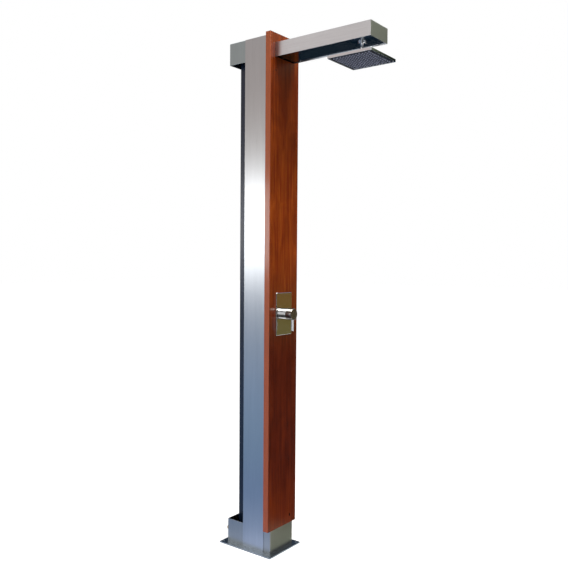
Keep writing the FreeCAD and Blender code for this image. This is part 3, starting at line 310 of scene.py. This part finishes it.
def brushed(name, tone, axis, roughness=0.30, edge=0.0008):
    """Ground stainless steel whose hairlines run along one axis."""
    material, tree, skin = shader(name)
    hairline = noise(tree, along_axis(axis, 7, 1400), 4, 0.7)
    cloud = noise(tree, along_axis(axis, 1.3, 26))
    lines = ramp(tree, hairline, [(0.30, tuple(0.88 * share for share in tone)),
                                  (0.70, tuple(1.10 * share for share in tone))])
    patches = ramp(tree, cloud, [(0.25, (0.92, 0.92, 0.92)), (0.75, (1, 1, 1))])
    sheen = blended(tree, 1.0, lines, patches, "MULTIPLY")
    rub = rubbed_edges(tree, relief(tree, skin, hairline, 0.000008, edge))
    tree.links.new(blended(tree, scaled(tree, rub, 0, 0.5), sheen, (0.72, 0.72, 0.72)),
                   skin.inputs["Base Color"])
    tree.links.new(scaled(tree, hairline, roughness - 0.06, roughness + 0.08), skin.inputs["Roughness"])
    skin.inputs["Metallic"].default_value = 1
    skin.inputs["Anisotropic"].default_value = 0.5
    turn = tree.nodes.new("ShaderNodeTangent")
    turn.direction_type = "RADIAL"
    turn.axis = axis
    tree.links.new(turn.outputs["Tangent"], skin.inputs["Tangent"])
    return material


def dress(material, *names):
    """Give CAD pieces their finish."""
    for name in names:
        nodes[name].data.materials.clear()
        nodes[name].data.materials.append(material)


plate_steel = brushed("plate_steel", (0.21, 0.25, 0.295), "Y")
collar_steel = brushed("collar_steel", (0.34, 0.34, 0.325), "Z")
dress(plate_steel, "base_plate")
dress(collar_steel, "base_collar")

# ---- Column and its brackets ----
# The load is carried by a rectangular tube with a welded cap. Folded brackets are bolted to its front.
# All are powder coated dark blue-grey: fine orange peel, and a little bare metal on the edges. Their
# near-black tone is partly painted shade, for the recess behind the side panels.


def powder_coat(name, tone):
    """Baked powder paint: orange peel, a film of dust and edges worn to the metal."""
    material, tree, skin = shader(name)
    peel = noise(tree, (900, 900, 900), 2)
    dust = noise(tree, (14, 14, 5), 4)
    coat = ramp(tree, dust, [(0.3, tone), (0.75, tuple(1.7 * share for share in tone))])
    rub = rubbed_edges(tree, relief(tree, skin, peel, 0.00004, 0.0008))
    chip = worked(tree, "MULTIPLY", rub, scaled(tree, noise(tree, (260, 260, 260)), 0, 1, 0.52, 0.62))
    tree.links.new(blended(tree, chip, coat, (0.22, 0.23, 0.24)), skin.inputs["Base Color"])
    tree.links.new(scaled(tree, dust, 0.20, 0.32), skin.inputs["Roughness"])
    skin.inputs["Specular IOR Level"].default_value = 0.36
    return material


# Nearly black: the coat's own colour plus painted shade for the recess behind the side panels.
column_coat_and_shade = powder_coat("column_coat_and_shade", (0.004, 0.010, 0.026))
dress(column_coat_and_shade, "column_tube", "column_cap", "arm_bracket",
      *[f"board_bracket_{number}" for number in (1, 2, 3, 4)])

# ---- Side panels ----
# Thin stainless sheet down both sides, from the top box to the base plate, folded in at the back and
# brushed along the post. They cover the pipes and the sides of the collar and the top box.
panel_steel = brushed("panel_steel", (0.42, 0.43, 0.44), "Z", 0.29, 0.0006)
dress(panel_steel, "side_panel_left", "side_panel_right")

# ---- Wood board ----
# One plank of red-brown hardwood with its edges eased, varnished to a gloss. The grain runs up the
# plank in wandering streaks, with short dark pores and two small knots.
board_half, board_top = 0.1, 2.25
streak_share, grain_share = 0.62, 0.38
side_face_start, side_face_end = 0.0014, 0.0002
pore_tone, knot_tone = (0.020, 0.0035, 0.0012), (0.010, 0.0025, 0.0012)
knots = [(0.0559, 0.1417, 0.006), (-0.0636, 2.0925, 0.005)]
heartwood = [(0.30, (0.120, 0.0130, 0.0015)), (0.43, (0.205, 0.0300, 0.0030)),
             (0.55, (0.290, 0.0540, 0.0052)), (0.70, (0.420, 0.0980, 0.0100))]
# Colour of the board's side faces, partly painted light for the strong side light they catch; rubbed edges
# also wear towards it.
edge_wear_and_side_light = (0.430, 0.090, 0.018)


def spread_apart(tree, vector):
    """The X, Y and Z of a vector."""
    split = tree.nodes.new("ShaderNodeSeparateXYZ")
    tree.links.new(vector, split.inputs[0])
    return split.outputs


def distance(tree, first, second):
    """The distance that two offsets at right angles add up to."""
    return worked(tree, "SQRT", worked(tree, "ADD", worked(tree, "MULTIPLY", first, first),
                                       worked(tree, "MULTIPLY", second, second)))


def knot_mask(tree, y, z, radius):
    """1 inside a knot that is longer up the plank than across, with a ragged rim."""
    spot = spread_apart(tree, object_point(tree))
    across = worked(tree, "SUBTRACT", spot["Y"], y)
    up = worked(tree, "MULTIPLY", worked(tree, "SUBTRACT", spot["Z"], z), 0.6)
    fray = scaled(tree, noise(tree, (90, 90, 60)), -0.4 * radius, 0.4 * radius)
    ragged = worked(tree, "ADD", distance(tree, across, up), fray)
    return scaled(tree, ragged, 1, 0, 0.45 * radius, radius)


wood, wood_tree, wood_skin = shader("varnished_hardwood")
streaks = noise(wood_tree, (32, 46, 2.1), 6, 0.60, 1.5)
fine_grain = noise(wood_tree, (260, 330, 7), 5, 0.7, 0.4)
pores = scaled(wood_tree, noise(wood_tree, (1500, 1500, 55), 2), 0, 1, 0.64, 0.74)
blotches = noise(wood_tree, (13, 15, 5.5), 4, 0.6, 1.0)
figure = worked(wood_tree, "ADD", worked(wood_tree, "MULTIPLY", streaks, streak_share),
                worked(wood_tree, "MULTIPLY", fine_grain, grain_share))
grain_colour = ramp(wood_tree, figure, heartwood)
blotch_tone = ramp(wood_tree, blotches, [(0.30, (0.62, 0.56, 0.52)), (0.72, (1.0, 1.0, 1.0))])
spot = spread_apart(wood_tree, object_point(wood_tree))
# Painted light by height: a painted sheen of the varnish across the upper middle, painted shadow of the arm
# at the top, and the plank darker towards the bottom.
painted_sheen_and_shadow = ramp(wood_tree, scaled(wood_tree, spot["Z"], 0, 1, 0, board_top), [
    (0.0, (0.68, 0.52, 0.58)), (0.11, (0.62, 0.46, 0.55)), (0.17, (0.42, 0.26, 0.36)),
    (0.42, (0.38, 0.26, 0.42)), (0.54, (0.80, 0.78, 0.90)), (0.59, (0.98, 0.98, 0.95)),
    (0.76, (1.0, 1.0, 0.85)), (0.90, (0.80, 0.72, 0.65)), (1.0, (0.70, 0.60, 0.60))])
plank = blended(wood_tree, 1.0, grain_colour, blotch_tone, "MULTIPLY")
plank = blended(wood_tree, 1.0, plank, painted_sheen_and_shadow, "MULTIPLY")
# The side faces are painted lighter and paler than the front: partly painted light, for the side light they
# catch.
side_faces = scaled(wood_tree, worked(wood_tree, "ABSOLUTE", spot["Y"]), 0, 1,
              board_half - side_face_start, board_half - side_face_end)
saw_marks = blended(wood_tree, fine_grain, (0.7, 0.62, 0.6), (1.1, 1.1, 1.1))
plank = blended(wood_tree, side_faces, plank, blended(wood_tree, 1.0, edge_wear_and_side_light, saw_marks, "MULTIPLY"))
plank = blended(wood_tree, worked(wood_tree, "MULTIPLY", pores, 0.7), plank, pore_tone)
for knot in knots:
    plank = blended(wood_tree, knot_mask(wood_tree, *knot), plank, knot_tone)
board_relief = worked(wood_tree, "SUBTRACT", fine_grain, worked(wood_tree, "MULTIPLY", pores, 0.8))
board_rub = rubbed_edges(wood_tree, relief(wood_tree, wood_skin, board_relief, 0.00010, 0.0015))
wood_tree.links.new(blended(wood_tree, worked(wood_tree, "MULTIPLY", board_rub, 0.35), plank, edge_wear_and_side_light),
                    wood_skin.inputs["Base Color"])
wood_tree.links.new(scaled(wood_tree, fine_grain, 0.34, 0.52), wood_skin.inputs["Roughness"])
wood_skin.inputs["Specular IOR Level"].default_value = 0.02
wood_skin.inputs["Coat Weight"].default_value = 1.0
wood_skin.inputs["Coat Roughness"].default_value = 0.15
dress(wood, "wood_board")

# ---- Top box ----
# A folded sheet hood over the column's head, open underneath and notched for the arm. It is brushed
# like the panels, with the grain upright.
box_steel = brushed("box_steel", (0.31, 0.365, 0.375), "Z", 0.30)
dress(box_steel, "top_box")

# ---- Arm ----
# A folded channel, brushed along its length, with a welded end plate. Its underside is closed by a
# screwed-in cover of the same steel with a finer polish; its dark tone is painted shade under the arm.
arm_steel = brushed("arm_steel", (0.54, 0.54, 0.545), "X", 0.32)
end_steel = brushed("end_steel", (0.45, 0.45, 0.43), "Y", 0.30)
# Dark tone: painted shade for the arm's underside.
cover_steel = brushed("cover_steel", (0.17, 0.21, 0.25), "X", 0.12)
dress(arm_steel, "arm_channel")
dress(end_steel, "arm_end_cap")
dress(cover_steel, "arm_cover")

# ---- Screws and bolts ----
# Stainless button-head screws with a hexagon socket. Each group of like screws is one piece, and
# each screw sits where the frame has it, head outwards.
socket_across, socket_floor = 0.46, 0.62
head_profile = [(0.62, 0), (0.85, 0.16), (0.97, 0.48), (1, 0.85), (1, 1)]
widest_screw, longest_screw = 0.014, 0.04
turning_steps, sharp_angle = 24, 38


def turned_metal(name, tone, roughness=0.24, edge=0.0003, pitted=0.00002):
    """Machined metal: fine tool marks, dulled a little by handling."""
    material, tree, skin = shader(name)
    marks = noise(tree, (1100, 1100, 1100), 3)
    dull = noise(tree, (60, 60, 60), 3)
    shade = ramp(tree, dull, [(0.3, tuple(0.82 * share for share in tone)), (0.7, tone)])
    rub = rubbed_edges(tree, relief(tree, skin, marks, pitted, edge))
    bright = tuple(min(1, 1.5 * share) for share in tone)
    tree.links.new(blended(tree, scaled(tree, rub, 0, 0.4), shade, bright), skin.inputs["Base Color"])
    tree.links.new(scaled(tree, dull, roughness - 0.05, roughness + 0.10), skin.inputs["Roughness"])
    skin.inputs["Metallic"].default_value = 1
    return material


def new_piece(name, bm, material, body, slot, *replaced):
    """Finish a mesh as a piece that stands for CAD nodes of the same body."""
    mesh = bpy.data.meshes.new(name)
    bmesh.ops.recalc_face_normals(bm, faces=bm.faces)
    bm.to_mesh(mesh)
    bm.free()
    mesh.polygons.foreach_set("use_smooth", [True] * len(mesh.polygons))
    mesh.set_sharp_from_angle(angle=math.radians(sharp_angle))
    mesh.materials.append(material)
    piece = bpy.data.objects.new(name, mesh)
    bpy.context.scene.collection.objects.link(piece)
    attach(piece, body)
    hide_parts(*replaced)


def add_turning(bm, rings, place, turn=Matrix()):
    """Add a lathe form: each ring is a list of points round the axis, or one point at an end."""
    rows = [[bm.verts.new(place + turn @ Vector(point)) for point in ring] for ring in rings]
    for lower, upper in zip(rows, rows[1:]):
        count = max(len(lower), len(upper))
        for step in range(count):
            following = (step + 1) % count
            corners = [lower[step % len(lower)], lower[following % len(lower)],
                       upper[following % len(upper)], upper[step % len(upper)]]
            bm.faces.new(list(dict.fromkeys(corners)))


def circle(radius, z, steps=turning_steps):
    """A ring of points round the axis."""
    return [(radius * math.cos(2 * math.pi * step / steps), radius * math.sin(2 * math.pi * step / steps), z)
            for step in range(steps)]


def hexagon_ring(flat_radius, z):
    """A ring of points on a hexagon's sides."""
    ring = []
    for step in range(turning_steps):
        angle = 2 * math.pi * step / turning_steps
        radius = flat_radius / math.cos((angle + math.pi / 6) % (math.pi / 3) - math.pi / 6)
        ring.append((radius * math.cos(angle), radius * math.sin(angle), z))
    return ring


def screw_rings(head_radius, head_height, shank_radius, length):
    """The socket's floor and wall, the domed head, then the shank and its blunt end."""
    socket = socket_across * head_radius
    socket_end = socket_floor * head_height
    return [[(0, 0, socket_end)], hexagon_ring(socket, socket_end), hexagon_ring(socket, 0),
            *[circle(out * head_radius, down * head_height) for out, down in head_profile],
            circle(shank_radius, head_height), circle(shank_radius, length - 0.4 * shank_radius),
            circle(0.6 * shank_radius, length), [(0, 0, length)]]


def screws_in(name, axis):
    """Lowest and highest corner of each screw of a CAD group, told apart by where they are."""
    line = "XYZ".index(axis)
    sides = [side for side in range(3) if side != line]
    found = []
    for vertex in nodes[name].data.vertices:
        spot = vertex.co
        for group in found:
            near = all(abs(spot[side] - group[0][side]) < widest_screw for side in sides)
            if near and abs(spot[line] - group[0][line]) < longest_screw:
                group.append(spot)
                break
        else:
            found.append([spot])
    return [(Vector(map(min, zip(*group))), Vector(map(max, zip(*group)))) for group in found]


def screw_set(name, axis, body, diameter, head_share=0.5):
    """Replace a group of screws. The shanks point along axis, such as -X, or with * to the middle."""
    bm = bmesh.new()
    letter = axis[-1]
    line = "XYZ".index(letter)
    across = "XYZ".index("Y" if letter != "Y" else "X")
    for low, high in screws_in(name, letter):
        middle = (low + high) / 2
        way = Vector((0, 0, 0))
        way[line] = {"-": -1, "+": 1, "*": -1 if middle[line] > 0 else 1}[axis[0]]
        top = middle.copy()
        top[line] = low[line] if way[line] > 0 else high[line]
        rings = screw_rings((high[across] - low[across]) / 2, head_share * diameter, diameter / 2,
                            high[line] - low[line])
        add_turning(bm, rings, top, way.to_track_quat("Z", "Y").to_matrix())
    new_piece(f"{name}_detailed", bm, screw_steel, body, "fastener_steel", name)


screw_steel = turned_metal("screw_steel", (0.50, 0.50, 0.51))
screw_set("bracket_bolts", "-X", "post", 0.006)
screw_set("arm_bolts", "-X", "post", 0.008)
screw_set("arm_side_screws", "*Y", "post", 0.006)
screw_set("board_screws", "+X", "post", 0.0048)
screw_set("mixer_screws", "+X", "post", 0.0048)
screw_set("top_box_screws", "-Z", "post", 0.006)
screw_set("arm_cover_screws", "+Z", "post", 0.004)
screw_set("face_screws", "+Z", "shower_head", 0.0024, 0.375)

# ---- Water inlets and hoses ----
# Two threaded brass nipples come through the collar's back. From each a rubber hose under a woven
# stainless braid goes up to the mixer, with a hexagon nut at either end.
thread_pitch, inlet_height = 0.00181, 0.055
hose_bend_x, hose_bend_z, hose_bend_radius, hose_y = 0.012, 0.115, 0.060, 0.052
braid_wires, braid_lay = 12, 0.063


def threaded_brass(name, tone):
    """Machined brass with a pipe thread that winds round the inlets' axes."""
    material, tree, skin = shader(name)
    spot = spread_apart(tree, object_point(tree))
    beside_axis = worked(tree, "SUBTRACT", worked(tree, "ABSOLUTE", spot["Y"]), hose_y)
    above_axis = worked(tree, "SUBTRACT", spot["Z"], inlet_height)
    turn = worked(tree, "ARCTAN2", above_axis, beside_axis)
    climb = worked(tree, "MULTIPLY", spot["X"], 2 * math.pi / thread_pitch)
    wave = worked(tree, "SINE", worked(tree, "ADD", turn, climb))
    rub = rubbed_edges(tree, relief(tree, skin, scaled(tree, wave, 0, 1, -1, 1), 0.0007, 0.0003))
    dull = noise(tree, (70, 70, 70))
    shade = ramp(tree, dull, [(0.3, tuple(0.8 * share for share in tone)), (0.7, tone)])
    tree.links.new(blended(tree, scaled(tree, rub, 0, 0.4), shade, (0.90, 0.70, 0.38)),
                   skin.inputs["Base Color"])
    tree.links.new(scaled(tree, dull, 0.22, 0.36), skin.inputs["Roughness"])
    skin.inputs["Metallic"].default_value = 1
    return material


def braided_hose(name):
    """Fine steel wire woven both ways round a hose, along its level run, its bend and its rise."""
    material, tree, skin = shader(name)
    spot = spread_apart(tree, object_point(tree))
    past = worked(tree, "SUBTRACT", spot["X"], hose_bend_x)
    above = worked(tree, "SUBTRACT", spot["Z"], hose_bend_z)
    outward = worked(tree, "MAXIMUM", past, 0.0)
    downward = worked(tree, "MAXIMUM", worked(tree, "MULTIPLY", above, -1.0), 0.0)
    bend_run = worked(tree, "MULTIPLY", worked(tree, "ARCTAN2", outward, downward), hose_bend_radius)
    straight_run = worked(tree, "ADD", worked(tree, "MAXIMUM", above, 0.0),
                          worked(tree, "MINIMUM", past, 0.0))
    run = worked(tree, "ADD", bend_run, straight_run)
    turn = worked(tree, "ARCTAN2", worked(tree, "SUBTRACT", worked(tree, "ABSOLUTE", spot["Y"]), hose_y),
                  worked(tree, "SUBTRACT", distance(tree, outward, downward), hose_bend_radius))
    climb = worked(tree, "MULTIPLY", run, 2 * math.pi * braid_wires / braid_lay)
    round_it = worked(tree, "MULTIPLY", turn, float(braid_wires))
    weave = worked(tree, "MULTIPLY", worked(tree, "SINE", worked(tree, "ADD", round_it, climb)),
                   worked(tree, "SINE", worked(tree, "SUBTRACT", round_it, climb)))
    wire = scaled(tree, weave, 0, 1, -1, 1)
    tree.links.new(ramp(tree, wire, [(0.30, (0.10, 0.10, 0.10)), (0.62, (0.55, 0.55, 0.56))]),
                   skin.inputs["Base Color"])
    relief(tree, skin, wire, 0.0006, 0.0004)
    tree.links.new(scaled(tree, wire, 0.45, 0.25), skin.inputs["Roughness"])
    skin.inputs["Metallic"].default_value = 0.9
    return material


brass_tone = (0.62, 0.44, 0.20)
nut_brass = turned_metal("nut_brass", brass_tone, 0.26, 0.0006)
dress(threaded_brass("threaded_brass", brass_tone), "inlet_hot", "inlet_cold")
dress(nut_brass, "inlet_backnuts", "hose_nuts", "riser_nuts", "drop_backnut", "drop_elbow")
dress(braided_hose("braided_hose"), "hose_hot", "hose_cold")

# ---- Mixer body and cartridge ----
# The body is sand-cast brass, screwed to the board's back. It holds a plastic cartridge with a fixed
# and a sliding ceramic disc, and a steel spindle on a cross pin.


def plain_stuff(name, tone, roughness, speckle=0.06, grain=300, depth=0.00003, shine=0.5):
    """A moulded or pressed material: an even colour, faint mottling and a fine skin."""
    material, tree, skin = shader(name)
    skin_grain = noise(tree, (grain, grain, grain), 3)
    mottle = noise(tree, (30, 30, 30))
    tree.links.new(ramp(tree, mottle, [(0.3, tuple(share * (1 - speckle) for share in tone)), (0.7, tone)]),
                   skin.inputs["Base Color"])
    relief(tree, skin, skin_grain, depth, 0.0004)
    tree.links.new(scaled(tree, mottle, roughness - 0.04, roughness + 0.06), skin.inputs["Roughness"])
    skin.inputs["Specular IOR Level"].default_value = shine
    return material


dress(turned_metal("cast_brass", (0.55, 0.39, 0.18), 0.42, 0.0012, 0.00035), "mixer_body")
engineering_plastic = plain_stuff("engineering_plastic", (0.72, 0.72, 0.69), 0.42)
dress(engineering_plastic, "cartridge_housing", "cartridge_carrier", "swivel_washer", "ball_seat")
lapped_ceramic = plain_stuff("lapped_ceramic", (0.83, 0.82, 0.77), 0.16, 0.03, 900, 0.00001)
dress(lapped_ceramic, "fixed_disc", "moving_disc")
dress(turned_metal("spindle_steel", (0.55, 0.55, 0.56), 0.22), "pivot_pin", "spindle")

# ---- Mixer trim and handle ----
# Chromed brass: a bevelled rectangular plate on a rubber gasket, a sleeve with its O-ring, the domed
# cartridge nut, and a round handle with a pin lever screwed in from below.


def chromed(name, tone, roughness=0.06, edge=0.0005):
    """Bright plating: nearly a mirror, with dried water marks and a faint polish."""
    material, tree, skin = shader(name)
    marks = scaled(tree, noise(tree, (90, 90, 90), 4, 0.6), 0, 1, 0.56, 0.74)
    polish = noise(tree, (700, 700, 120), 3)
    tree.links.new(blended(tree, worked(tree, "MULTIPLY", marks, 0.12), tone, (0.50, 0.50, 0.49)),
                   skin.inputs["Base Color"])
    tree.links.new(worked(tree, "ADD", scaled(tree, polish, roughness - 0.02, roughness + 0.03),
                          worked(tree, "MULTIPLY", marks, 0.05)), skin.inputs["Roughness"])
    relief(tree, skin, polish, 0.000004, edge)
    skin.inputs["Metallic"].default_value = 1
    return material


chrome = chromed("chrome", (0.72, 0.72, 0.73))
plate_chrome = chromed("plate_chrome", (0.70, 0.70, 0.70), 0.10, 0.0003)
# The handle's chrome is toned far darker than the other chrome: a painted dark reflection.
handle_chrome_painted_dark = chromed("handle_chrome_painted_dark", (0.27, 0.26, 0.24), 0.22)
dress(chrome, "mixer_sleeve", "cartridge_nut", "lever_pin")
dress(plate_chrome, "mixer_plate")
dress(handle_chrome_painted_dark, "handle_knob")
seal_rubber = plain_stuff("seal_rubber", (0.022, 0.022, 0.023), 0.62, 0.3, 500, 0.00006, 0.3)
dress(seal_rubber, "plate_gasket", "sleeve_o_ring", "head_seal")

# ---- Riser pipe and clips ----
# A drawn stainless tube takes the mixed water from the mixer up behind the board and along the arm.
# Two moulded clips hold it to the board's back.
dress(brushed("drawn_tube", (0.50, 0.50, 0.51), "Z", 0.22, 0.0004), "riser_pipe")
dress(plain_stuff("clip_plastic", (0.62, 0.62, 0.60), 0.45), "riser_clips")

# ---- Drop pipe and ball joint ----
# A chromed pipe hangs from the elbow in the arm, held by a round nut under the cover. Its ball stem
# lets the head tilt and turn inside the swivel nut.
dress(chrome, "drop_pipe", "drop_locknut", "ball_stem", "swivel_nut")

# ---- Rain head ----
# A thin square shell of polished stainless steel. Its screwed-in face has 144 holes, and the soft
# silicone mat behind it pokes a nozzle through each, which can be rubbed clean with a thumb.
nozzle_count, nozzle_pitch, nozzle_steps = 12, 0.0145, 16
nozzle_neck, nozzle_lip, nozzle_tip, nozzle_bore = 0.00170, 0.0027, 0.0019, 0.00055
face_low, nozzle_drop, bore_depth = 2.0825, 0.0032, 0.0042
mat_underside, mat_clip, edge_ease = 2.0845, 0.014, 0.0003
head_steel = chromed("head_steel", (0.64, 0.66, 0.68), 0.10, 0.0008)
face_steel = brushed("face_steel", (0.03, 0.032, 0.04), "Y", 0.22, 0.0004)
dress(head_steel, "head_shell")
dress(face_steel, "head_face")

mat_low, mat_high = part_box("nozzle_mat")
mat_middle = (mat_low + mat_high) / 2
reach_x, reach_y = (mat_high - mat_low).x / 2, (mat_high - mat_low).y / 2
outline = []
for x, y in ((1, 1), (-1, 1), (-1, -1), (1, -1)):
    ends = [(x * reach_x, y * (reach_y - mat_clip)), (x * (reach_x - mat_clip), y * reach_y)]
    outline += ends if x == y else ends[::-1]
sheet_rings = []
for inset, z in ((edge_ease, mat_underside), (0, mat_underside + edge_ease), (0, mat_high.z - edge_ease),
                 (edge_ease, mat_high.z)):
    share = 1 - inset / reach_x
    sheet_rings.append([(share * x, share * y, z) for x, y in outline])
middle = Vector((mat_middle.x, mat_middle.y, 0))
bm = bmesh.new()
add_turning(bm, [[(0, 0, mat_underside)], *sheet_rings, [(0, 0, mat_high.z)]], middle)
nozzle_end = face_low - nozzle_drop
bore_end = nozzle_end + bore_depth
nozzle_profile = [
    (nozzle_neck, mat_underside), (nozzle_neck, face_low), (nozzle_lip, face_low),
    (0.97 * nozzle_lip, face_low - 0.0002), (0.80 * nozzle_lip, face_low - 0.0004),
    (1.06 * nozzle_tip, nozzle_end + edge_ease), (nozzle_tip, nozzle_end),
    (1.3 * nozzle_bore, nozzle_end), (nozzle_bore, nozzle_end + edge_ease), (nozzle_bore, bore_end)]
nozzle_rings = [circle(radius, z, nozzle_steps) for radius, z in nozzle_profile] + [[(0, 0, bore_end)]]
nozzle_places = [(index - (nozzle_count - 1) / 2) * nozzle_pitch for index in range(nozzle_count)]
for x in nozzle_places:
    for y in nozzle_places:
        add_turning(bm, nozzle_rings, middle + Vector((x, y, 0)))
silicone = plain_stuff("silicone", (0.46, 0.50, 0.69), 0.48, 0.10, 900, 0.00003)
new_piece("nozzle_mat_detailed", bm, silicone, "shower_head", "nozzle_silicone", "nozzle_mat")
